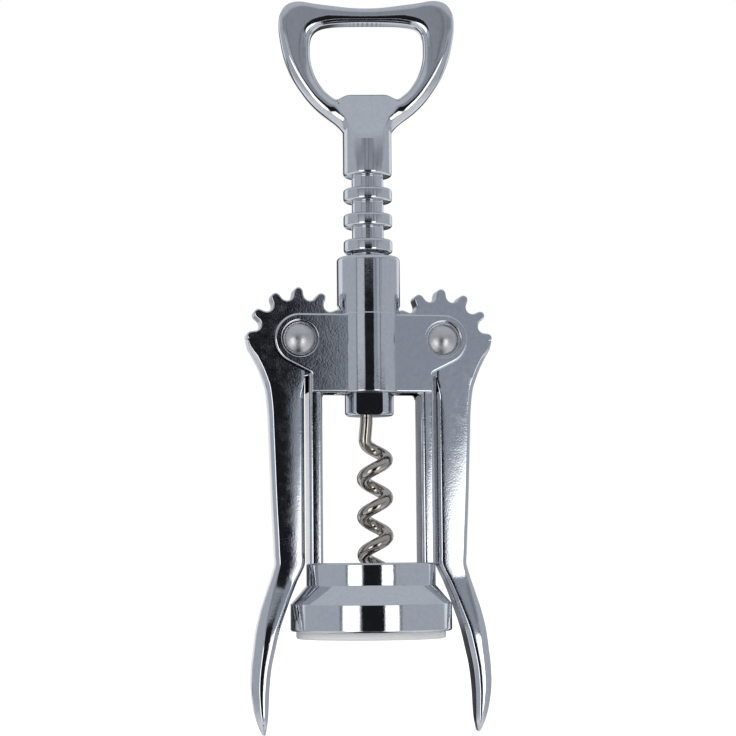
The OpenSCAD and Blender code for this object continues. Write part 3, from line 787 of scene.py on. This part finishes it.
class Shape:
    """Vertices and faces of one piece, in millimetres."""

    def __init__(self):
        self.verts = []
        self.faces = []

    def add(self, verts, faces):
        base = len(self.verts)
        self.verts += [Vector(v) for v in verts]
        self.faces += [tuple(base + i for i in f) for f in faces]

    def grid(self, rows, ends=False):
        """Joins rows of points, each a closed ring, and fills the first and the last where asked."""
        m = len(rows[0])
        faces = []
        for j in range(len(rows) - 1):
            for i in range(m):
                a, b = j * m + i, j * m + (i + 1) % m
                faces.append((a, b, b + m, a + m))
        if ends:
            faces.append(tuple(range(m - 1, -1, -1)))
            faces.append(tuple((len(rows) - 1) * m + i for i in range(m)))
        self.add([p for row in rows for p in row], faces)

    def lathe(self, profile, count, closed=True, along_y=None):
        """Turns a profile of (radius, height) round Z, or round a line along Y through (x, z)."""
        rows = []
        for k in range(count):
            a = 2 * math.pi * k / count
            c, s = math.cos(a), math.sin(a)
            if along_y is None:
                rows.append([(p[0] * c, p[0] * s, p[1]) for p in profile])
            else:
                x, z = along_y
                rows.append([(x + p[0] * c, p[1], z - p[0] * s) for p in profile])
        m = len(profile)
        faces = []
        for k in range(count):
            a, b = k * m, (k + 1) % count * m
            for i in range(m if closed else m - 1):
                j = (i + 1) % m
                faces.append((a + i, b + i, b + j, a + j))
        self.add([p for row in rows for p in row], faces)

    def flat_fill(self, loops, y):
        """Fills the area between an outer loop and the round holes in it, all at one depth."""
        bm = bmesh.new()
        for loop in loops:
            vs = [bm.verts.new(p) for p in facing(loop, y)]
            for a, b in zip(vs, vs[1:] + vs[:1]):
                bm.edges.new((a, b))
        bmesh.ops.triangle_fill(bm, use_beauty=True, edges=bm.edges[:])
        # The fill may cover a hole as well, so the faces inside one go
        holes = [(sum(loop, Vector((0, 0))) / len(loop), loop[0]) for loop in loops[1:]]
        inside = []
        for f in bm.faces:
            middle = f.calc_center_median().xz
            if any((middle - centre).length < 0.98 * (rim - centre).length for centre, rim in holes):
                inside.append(f)
        bmesh.ops.delete(bm, geom=inside, context="FACES_ONLY")
        bm.verts.index_update()
        self.add([v.co.copy() for v in bm.verts], [tuple(v.index for v in f.verts) for f in bm.faces])
        bm.free()

    def mirrored(self, axis):
        """Adds the mirror image of everything so far."""
        verts = [Vector(v) for v in self.verts]
        for v in verts:
            v[axis] = -v[axis]
        self.add(verts, [tuple(reversed(f)) for f in self.faces])

    def moved(self, matrix):
        self.verts = [matrix @ v for v in self.verts]
        return self

    def make(self, name, material, body, slot, replaced=(), angle=SHARP_ANGLE):
        """The piece as an object that rides on a body, and stands for the replaced nodes."""
        obj = bpy.data.objects.new(name, clean_mesh(name, self.verts, self.faces))
        bpy.context.scene.collection.objects.link(obj)
        obj.data.materials.append(material)
        finish_normals(obj, angle)
        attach(obj, body)
        for node in replaced:
            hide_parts(node)
        return obj


def cut(obj, cutter, renew=False):
    """Cuts a closed shape out of a piece. Where renew is set, no corner normal of before is kept."""
    mesh = clean_mesh("cutter", cutter.verts, cutter.faces)
    tool = bpy.data.objects.new("cutter", mesh)
    bpy.context.scene.collection.objects.link(tool)
    mod = obj.modifiers.new("cut", "BOOLEAN")
    mod.operation, mod.solver, mod.object = "DIFFERENCE", "EXACT", tool
    bpy.context.view_layer.update()
    done = bpy.data.meshes.new_from_object(obj.evaluated_get(bpy.context.evaluated_depsgraph_get()))
    obj.modifiers.clear()
    old = obj.data
    obj.data = done
    if renew and "custom_normal" in done.attributes:
        done.attributes.remove(done.attributes["custom_normal"])
    done.name = old.name
    bpy.data.meshes.remove(old)
    bpy.data.objects.remove(tool)
    bpy.data.meshes.remove(mesh)
    finish_normals(obj, SHARP_ANGLE)


# The frame. Each corner of a profile is its radius, its height and how far it is rounded.


def bell():
    s = Shape()
    foot_r, foot_z = LIP_R + FOOT_GAP, LIP_H - FOOT_DROP
    s.lathe(rounded([
        (LINER_R, LIP_H, 0), (foot_r, LIP_H, 0), (foot_r, foot_z, 0.2), (BELL_R, foot_z, 0.6),
        (BELL_R, SKIRT_Z, 0.35), (BELL_TOP_R, CONE_Z, 0.3), (BELL_TOP_R, BELL_TOP_Z, 0.55),
        (CORK_R, BELL_TOP_Z, 0.3), (CORK_R, MOUTH_DEPTH, 0), (LINER_R, MOUTH_DEPTH, 0)]), 144)
    return s


def barrel():
    s = Shape()
    wide, ear_top = BARREL_R + BARREL_STEP, PIVOT_Z + EAR_R
    s.lathe(rounded([
        (BORE_R, PLATE_Z, 0.25), (wide, PLATE_Z, 0.45), (wide, ear_top, 0.12),
        (BARREL_R, ear_top + STEP_RUN, 0.12), (BARREL_R, BARREL_TOP_Z, 1.1),
        (BORE_R, BARREL_TOP_Z, 0.25)], 8), 128)
    return s


def plate_loop():
    """Outline of a plate, counter-clockwise seen from the front: right side, top, left side."""
    away = Vector((SIDE_X - PIVOT_X, SIDE_Z - PIVOT_Z))
    turn = math.atan2(away.y, away.x) + math.acos(EAR_R / away.length)
    foot = Vector((PIVOT_X + EAR_R * math.cos(turn), PIVOT_Z + EAR_R * math.sin(turn)))
    side = PIVOT_X + EAR_R
    slope = (foot - Vector((SIDE_X, SIDE_Z))).normalized()
    elbow = foot + slope * ((side - foot.x) / slope.x)
    # A hair under the ear's radius, so that two round corners never meet in one point
    ear = EAR_R - 0.001
    half = [(side, PIVOT_Z + EAR_R, ear), (side, elbow.y, ear),
        (SIDE_X, SIDE_Z, SIDE_ROUND), (SIDE_X, PLATE_Z, CORNER_ROUND)]
    return rounded(half[::-1] + [(-x, z, r) for x, z, r in half], 14)


def recess(s, x):
    """A rivet's recess with a soft rim and a floor, and the shaft's hole. Gives the hole for the face."""
    rows = [facing(circle_loop(x, PIVOT_Z, RECESS_R + RECESS_LIP - RECESS_LIP * down),
        -(PLATE_OUT - RECESS_LIP + RECESS_LIP * up)) for up, down in quarter(4)]
    floor = PLATE_OUT - RECESS_DEPTH
    for r, y in ((RECESS_R - RECESS_DRAFT, floor), (RIVET_R, floor), (RIVET_R, PLATE_IN)):
        rows.append(facing(circle_loop(x, PIVOT_Z, r), -y))
    s.grid(rows)
    near = circle_loop(x, PIVOT_Z, RECESS_R + RECESS_LIP)
    far = circle_loop(x, PIVOT_Z, RECESS_R + RECESS_LIP + SUPPORT)
    s.grid([facing(near, -PLATE_OUT), facing(far, -PLATE_OUT)])
    return far


def plates():
    """The front plate and, as its mirror image, the back one."""
    s = Shape()
    loop = plate_loop()
    rows = [facing(loop, -PLATE_IN)]
    for c, up in quarter(6):
        inner = moved_in(loop, PLATE_EDGE * (1 - c))
        rows.append(facing(inner, -(PLATE_OUT - PLATE_EDGE + PLATE_EDGE * up)))
    s.grid(rows)
    holes = [recess(s, x) for x in (-PIVOT_X, PIVOT_X)]
    near, far = moved_in(loop, PLATE_EDGE), moved_in(loop, PLATE_EDGE + SUPPORT)
    s.grid([facing(near, -PLATE_OUT), facing(far, -PLATE_OUT)])
    s.flat_fill([far] + holes, -PLATE_OUT)
    s.flat_fill([loop] + [circle_loop(x, PIVOT_Z, RIVET_R) for x in (-PIVOT_X, PIVOT_X)], -PLATE_IN)
    s.mirrored(1)
    return s


def legs():
    """The two legs, each with a fillet to the lower edge of both plates."""
    s = Shape()
    half = LEG_W / 2
    section = rounded([(LEG_OUT, -half, LEG_EDGE), (LEG_OUT, half, LEG_EDGE),
        (LEG_IN, half, LEG_EDGE), (LEG_IN, -half, LEG_EDGE)], 7)
    heights = (BELL_TOP_Z - LEG_SUNK, *LEG_MIDDLES, SIDE_Z - LEG_SHORT)
    s.grid([[(p.x, p.y, z) for p in section] for z in heights], ends=True)
    arc = [Vector((LEG_IN - FILLET_R + FILLET_R * right, PLATE_Z - FILLET_R + FILLET_R * up))
        for up, right in quarter(8)]
    over = PLATE_Z + FILLET_OVER
    loop = [Vector((LEG_IN + FILLET_SUNK, over)), Vector((LEG_IN - FILLET_R, over))] + arc \
        + [Vector((LEG_IN + FILLET_SUNK, PLATE_Z - FILLET_R))]
    for sign in (-1, 1):
        s.grid([facing(loop, sign * y) for y in (PLATE_IN, PLATE_OUT - FILLET_SHY)], ends=True)
    s.mirrored(0)
    return s


# The neck ring and the rivets


def ring():
    s = Shape()
    s.lathe(rounded([
        (MOUTH_R, 0, 0.35), (LIP_R, 0, 0.6), (LIP_R, LIP_H, 0.1), (LINER_R, LIP_H, 0),
        (LINER_R, MOUTH_DEPTH, 0.2), (MOUTH_R, MOUTH_DEPTH, 0.3)]), 144)
    return s


def rivets():
    """Two shafts with a domed head at each end, which sits in a plate's recess."""
    s = Shape()
    seat = PLATE_OUT - RECESS_DEPTH
    dome = (HEAD_R ** 2 + HEAD_H ** 2) / (2 * HEAD_H)
    top = math.asin((HEAD_R - HEAD_SHOULDER) / dome)
    arc = [(dome * math.sin(a), seat + HEAD_H - dome + dome * math.cos(a))
        for a in (top * k / 14 for k in range(15))]
    front = arc + [(HEAD_R, seat + HEAD_RIM), (HEAD_R - HEAD_DRAFT, seat), (RIVET_R, seat)]
    profile = front + [(r, -y) for r, y in reversed(front)]
    for x in (-PIVOT_X, PIVOT_X):
        s.lathe(profile, 64, closed=False, along_y=(x, PIVOT_Z))
    return s


# What is cut from the frame and the levers


def windows():
    """The round spaces in barrel and legs in which the toothed sectors turn."""
    s = Shape()
    for x in (-PIVOT_X, PIVOT_X):
        loop = circle_loop(x, PIVOT_Z, TIP_R + TIP_CLEAR, 160)
        s.grid([facing(loop, y) for y in (-PLATE_IN, PLATE_IN)], ends=True)
    return s


def bore():
    """The barrel's bore as it goes through the plates."""
    s = Shape()
    loop = circle_loop(0, 0, BORE_R + BORE_CLEAR, 160)
    s.grid([[(p.x, p.y, z) for p in loop] for z in (PLATE_Z - 1, PIVOT_Z + EAR_R + 1)], ends=True)
    return s


def pivot_hole(side):
    s = Shape()
    loop = circle_loop(side * PIVOT_X, PIVOT_Z, PIVOT_HOLE_R)
    s.grid([facing(loop, y) for y in (-PLATE_IN, PLATE_IN)], ends=True)
    return s


# The spindle


def spindle_round():
    """Tail, ring rack and shank: turned round the spindle's axis."""
    s = Shape()
    profile = [(0, TAIL_Z, 0), (SPINDLE_R, TAIL_Z, RING_EDGE), (SPINDLE_R, TAIL_TOP_Z, RING_EDGE),
        (NECK_R, TAIL_TOP_Z, NECK_EDGE)]
    for k in range(RING_COUNT):
        z = FIRST_RING_Z + RING_PITCH * k
        low, high = z - RING_T / 2, z + RING_T / 2
        profile += [(NECK_R, low, NECK_EDGE), (SPINDLE_R, low, RING_EDGE),
            (SPINDLE_R, high, RING_EDGE), (NECK_R, high, NECK_EDGE)]
    profile += [(NECK_R, SHANK_Z, NECK_EDGE), (SPINDLE_R, SHANK_Z, RING_EDGE),
        (SPINDLE_R, SHANK_TOP_Z, 0), (0, SHANK_TOP_Z, 0)]
    s.lathe(rounded(profile, closed=False), 120, closed=False)
    return s


SHIELD_LINE = smooth_line(SHIELD, 6, False)


def shield_cutter():
    """Two curved wedges, in front and behind, that leave the shield between shank and window."""
    s = Shape()
    out = SPINDLE_R + CUT_OVER
    line = [(-(y - SHIELD_DEEPER), z) for z, y in SHIELD_LINE]
    points = [(-out, line[0][1])] + line + [(-out, line[-1][1])]
    for sign in (1, -1):
        s.grid([[(x, sign * y, z) for y, z in points] for x in (-SHIELD_CUT_X, SHIELD_CUT_X)], ends=True)
    return s


def tail_cutter():
    """Two boxes that leave the flats of the tail, in front and behind."""
    s = Shape()
    out, low, high = SPINDLE_R + CUT_OVER, TAIL_Z - TAIL_FLAT_UNDER, TAIL_TOP_Z - TAIL_FLAT_SHORT
    points = [(TAIL_FLAT_Y, low), (out, low), (out, high), (TAIL_FLAT_Y, high)]
    for sign in (1, -1):
        s.grid([[(x, sign * y, z) for y, z in points] for x in (-out, out)], ends=True)
    return s


def shield_depth(x, z):
    """Half the thickness between the two shields; beside and above them the bow is free."""
    beyond = max(0.0, abs(x) - looked_up(SHIELD_HALF_W, z)) + max(0.0, z - LIP_Z - SHIELD_OVER)
    return looked_up(SHIELD_LINE, z) + SHIELD_FLANK * beyond


def handle_lines(count):
    """The outer outline of the handle and the window's, at the same angles round the window's middle."""
    half = [(SPINDLE_R * a, ROOT_Z - HANDLE_FOOT_H * b) for a, b in FOOT_SHARES] \
        + [(a * HANDLE_W / 2, ROOT_Z + b * HANDLE_H) for a, b in HANDLE_SHARES]
    middle = [(0, ROOT_Z + HANDLE_MIDDLE_SHARE * HANDLE_H)]
    outer = smooth_line(half + middle + [(-x, z) for x, z in reversed(half)], 8, True)
    half = [(a * WINDOW_W / 2, LIP_Z + b * WINDOW_H) for a, b in WINDOW_SHARES]
    inner = smooth_line(half + [(-x, z) for x, z in reversed(half)], 8, True)
    centre = (0, LIP_Z + 0.5 * WINDOW_H)
    return by_angle(outer, centre, count), by_angle(inner, centre, count)


def handle_point(mid, reach, power, a):
    """Point of the bow's section at an angle: only the edges of a wide section are rounded."""
    edge = min(1.0, HANDLE_EDGE / reach.length)
    across = abs(math.cos(a)) ** (2 / power)
    deep = max(0.0, 1 - max(0.0, (across - 1 + edge) / edge) ** power) ** (1 / power)
    p = mid + reach * math.copysign(across, math.cos(a))
    thick = HANDLE_T / 2
    if abs(p.x) < SPINDLE_R and p.y < ROOT_Z + ROOT_SWELL_H:
        # The root swells out to the round shank
        round_y = math.sqrt(max(0.0, SPINDLE_R ** 2 - p.x ** 2)) - ROOT_SUNK
        thick = -soft_min(-thick, -round_y, ROOT_SOFT)
    y = thick * deep
    if deep > SHIELD_EDGE_DEEP:
        soft = SHIELD_SOFT if p.y > ROOT_Z + SHIELD_SOFT_FROM else SHIELD_SHARP
        y = soft_min(y, shield_depth(p.x, p.y), soft)
    return (p.x, math.copysign(y, math.sin(a)), p.y)


def handle():
    """The handle's bow: an oval section between the outer outline and the window's, thick at the root."""
    s = Shape()
    count, around = 320, 72
    rows = []
    for outer, inner in zip(*handle_lines(count)):
        mid, reach = (outer + inner) / 2, (outer - inner) / 2
        # The section is flatter in the top bar than in the lower bars
        power = LOW_POWER + POWER_RISE * eased((mid.y - ROOT_Z - POWER_FROM) / POWER_RUN)
        rows.append([handle_point(mid, reach, power, 2 * math.pi * k / around) for k in range(around)])
    rows.append(rows[0])
    s.grid(rows)
    return s


# The worm


def worm_at(d):
    """Point of the wire's centre line d below the tail, and the way from the helix's axis."""
    u = d - WORM_NECK
    if u <= 0:
        turned = 0
    elif u < WORM_BEND:
        turned = u * u / (2 * WORM_BEND)
    else:
        turned = u - WORM_BEND / 2
    a = WORM_LEAVE - 2 * math.pi * turned / WORM_PITCH
    w = eased(d / (WORM_NECK + WORM_BEND))
    out = Vector((math.cos(a), math.sin(a)))
    p = WORM_TOP * (1 - w) + (WORM_AXIS + HELIX_R * out) * w
    return Vector((p.x, p.y, TAIL_Z - d)), Vector((out.x, out.y, 0))


def worm():
    """The wire from its seat in the tail to its ground point."""
    s = Shape()
    stations = [-WORM_SEAT + WORM_SEAT_STEP * k for k in range(8)]
    d = 0.0
    while d < WORM_LEN - WORM_TIP:
        stations.append(d)
        d += WORM_STEP
    stations += [WORM_LEN - WORM_TIP * (1 - k / WORM_TIP_STEPS) ** WORM_TIP_SPACING
        for k in range(WORM_TIP_STEPS + 1)]
    around = 28
    angles = [2 * math.pi * k / around for k in range(around)]
    rows = []
    for d in stations:
        p, out = worm_at(d)
        along = (worm_at(d + WORM_NEAR)[0] - worm_at(d - WORM_NEAR)[0]).normalized()
        side = (out - along * along.dot(out)).normalized()
        up = along.cross(side)
        left = max(0.0, WORM_LEN - d) / WORM_TIP
        r = WIRE_R * min(1, max(WORM_TIP_LEAST, left ** WORM_TIP_SHAPE))
        rows.append([p + r * (math.cos(f) * side + math.sin(f) * up) for f in angles])
    s.grid(rows, ends=True)
    return s


# The levers: built as the right one, the left one is its mirror image

HALF_T_LINE = smooth_line(GRIP_HALF_T, 4, False)


def lever_rows():
    """Height, inner edge and outer edge of the lever, from the pivot down to the grip's end."""
    rows = [(PIVOT_Z - a * (PIVOT_Z - BELL_TOP_Z), LEVER_IN, LEVER_IN + w * LEVER_W) for a, w in ARM_SHARES]
    for a, move, w in GRIP_SHARES:
        x = LEVER_IN + move * GRIP_MOVE
        rows.append((BELL_TOP_Z - a * GRIP_LEN, x, x + w * LEVER_W))
    rows = smooth_line(rows, 5, False)
    dense = []
    for (z0, a0, b0), (z1, a1, b1) in zip(rows, rows[1:]):
        n = max(1, int((z0 - z1) / LEVER_STEP))
        dense += [(z0 + (z1 - z0) * k / n, a0 + (a1 - a0) * k / n, b0 + (b1 - b0) * k / n) for k in range(n)]
    return dense + [rows[-1]]


def soft_corner(p, before, after, reach):
    """A corner rounded between two directions, always with the same number of points."""
    start, end = p - before * reach, p + after * reach
    steps = 4
    return [start * (1 - k / steps) ** 2 + p * (2 * k / steps * (1 - k / steps)) + end * (k / steps) ** 2
        for k in range(steps + 1)]


def lever_section(a, b, bevel_a, bevel_b, t, crown):
    """Section of a lever from x = a to b: crowned faces, bevels with soft corners, flat sides."""
    up, along = Vector((0, -1)), Vector((1, 0))
    slant_in, slant_out = (up + along).normalized(), (along - up).normalized()
    ra, rb = (min(BEVEL_CORNER, bevel * BEVEL_CORNER_SHARE) for bevel in (bevel_a, bevel_b))
    front = [Vector((a, 0))] + soft_corner(Vector((a, bevel_a - t)), up, slant_in, ra) \
        + soft_corner(Vector((a + bevel_a, -t)), slant_in, along, ra)
    left, right = front[-1], Vector((b - bevel_b - rb, -t))
    front += [left + (right - left) * k / 10 for k in range(1, 10)]
    front += soft_corner(Vector((b - bevel_b, -t)), along, slant_out, rb) \
        + soft_corner(Vector((b, bevel_b - t)), slant_out, -up, rb) + [Vector((b, 0))]
    mid, span = (left.x + right.x) / 2, max(1e-6, (right.x - left.x) / 2)
    crowned = []
    for p in front:
        u = max(-1.0, min(1.0, (p.x - mid) / span))
        crowned.append(Vector((p.x, p.y + (crown * u * u if p.y < 0 else 0))))
    return crowned + [Vector((p.x, -p.y)) for p in reversed(crowned[1:-1])]


def bevel_at(z, width, top, table):
    """A bevel of the lever at a height. On the arm it grows down from its top."""
    bevel = min(looked_up(table, (BELL_TOP_Z - z) / GRIP_LEN), width * BEVEL_SHARE)
    if z > BELL_TOP_Z:
        bevel = min(bevel, BEVEL * (top - z) / BEVEL_RUN)
    return max(BEVEL_LEAST, bevel)


def lever_arm():
    """The lever without its hub and teeth, its faces slightly crowned below the hub."""
    s = Shape()
    sections = []
    for z, a, b in lever_rows():
        t = looked_up(HALF_T_LINE, (BELL_TOP_Z - z) / GRIP_LEN)
        inner = bevel_at(z, b - a, PIVOT_Z - ROOT_R, INNER_BEVEL)
        outer = bevel_at(z, b - a, PIVOT_Z, OUTER_BEVEL)
        ramp = max(0.0, min(1.0, (PIVOT_Z - CROWN_FROM - z) / CROWN_RUN))
        crown = LEVER_CROWN * ramp * min(1, (b - a) / CROWN_W)
        sections.append([(p.x, p.y, z) for p in lever_section(a, b, inner, outer, t, crown)])
    s.grid(sections, ends=True)
    return s


def tooth_radius(angle):
    """Radius of the toothed sector at an angle in degrees from the line to the spindle."""
    u = (angle - FIRST_TOOTH) / TOOTH_STEP
    off = abs(u - round(u)) * math.radians(TOOTH_STEP)
    foot, tip = ROOT_R + ROOT_OVER, TIP_R - TOOTH_TIP_R
    # Half the tooth's width at each radius, from its round tip down to its broad foot
    for k in range(60):
        r = TIP_R - (TIP_R - foot) * k / 59
        if r > tip:
            half = math.sqrt(max(0.0, TOOTH_TIP_R ** 2 - (r - tip) ** 2))
        else:
            depth = (tip - r) / (tip - foot)
            half = TOOTH_HALF + TOOTH_TAPER * depth + TOOTH_FLARE * depth ** 5
        if off <= half / r:
            return r
    return foot


def gear_loop():
    """Outline of the hub with its teeth. Its points are at even distances, so that its edge rounds evenly."""
    loop = []
    n = 620
    for k in range(n):
        a = 360.0 * k / n
        turned = (a + 90) % 360 - 90
        r = tooth_radius(turned) if SECTOR_FROM <= turned <= SECTOR_TO else HUB_R
        a = math.radians(a)
        loop.append(Vector((PIVOT_X - r * math.cos(a), PIVOT_Z + r * math.sin(a))))
    return evened(loop[::-1], SECTOR_POINTS)


def gear():
    """The hub with its teeth: its face is a hair below the arm's, and its edges are softly rounded."""
    s = Shape()
    loop = gear_loop()
    t = LEVER_T / 2 - SECTOR_LOWER
    lines = [(moved_in(loop, SECTOR_EDGE * (1 - c)), t - SECTOR_EDGE + SECTOR_EDGE * up)
        for c, up in quarter(5)]
    s.grid([facing(line, y) for line, y in reversed(lines)] + [facing(line, -y) for line, y in lines])
    hole = circle_loop(PIVOT_X, PIVOT_Z, PIVOT_HOLE_R)
    rim, inner = moved_in(loop, SECTOR_EDGE), moved_in(loop, SECTOR_EDGE + SUPPORT)
    for y in (-t, t):
        s.grid([facing(rim, y), facing(inner, y)])
        s.flat_fill([inner, hole], y)
    s.grid([facing(hole, -t), facing(hole, t)])
    return s


bpy.context.scene.view_settings.view_transform = "Standard"
make_camera()
make_world()
make_lamp()
make_floor()

casting = metal("frame_plating", SILVER, rough=0.04, spread=0.06, fine=2.4, broad=0.8)
bright = metal("spindle_plating", SILVER, rough=0.05, spread=0.05, fine=1.6, broad=0.8)
lever_plating = metal("lever_plating", SILVER, rough=0.04, spread=0.06, fine=2.2, broad=0.5)
satin = metal("rivet_satin", SATIN, rough=0.30, spread=0.14, fine=2.0, broad=3.0)
nickel = metal("worm_nickel", NICKEL, rough=0.08, spread=0.08, fine=1.6, broad=1.0)
milky = milky_plastic()

barrel_piece = barrel().make("barrel", casting, "frame", "frame_chrome")
cut(barrel_piece, windows())
bell().make("bell", casting, "frame", "frame_chrome", ["frame"])
plates_piece = plates().make("plates", casting, "frame", "frame_chrome")
cut(plates_piece, bore(), renew=True)
legs_piece = legs().make("legs", casting, "frame", "frame_chrome")
cut(legs_piece, windows())
ring().make("mouth_ring", milky, "frame", "ring_plastic", ["neck_ring"])
rivets().make("rivets", satin, "frame", "rivet_metal", ["pivot_rivets"])

spindle_piece = spindle_round().make("spindle_rack", bright, "spindle", "spindle_chrome", ["spindle"])
turn = Matrix.Rotation(math.radians(HANDLE_TURN), 4, "Z")
cut(spindle_piece, shield_cutter().moved(turn))
cut(spindle_piece, tail_cutter().moved(turn))
handle().moved(turn).make("handle", bright, "spindle", "spindle_chrome", angle=60)
worm().make("worm_wire", nickel, "spindle", "worm_steel", ["worm"], angle=60)

for name, side in (("right", 1), ("left", -1)):
    mirror = Matrix.Diagonal((side, 1, 1, 1))
    body = name + "_lever"
    arm_piece = lever_arm().moved(mirror).make(name + "_arm", lever_plating, body, "lever_chrome", [body])
    cut(arm_piece, pivot_hole(side), renew=True)
    gear().moved(mirror).make(name + "_sector", lever_plating, body, "lever_chrome", angle=40)
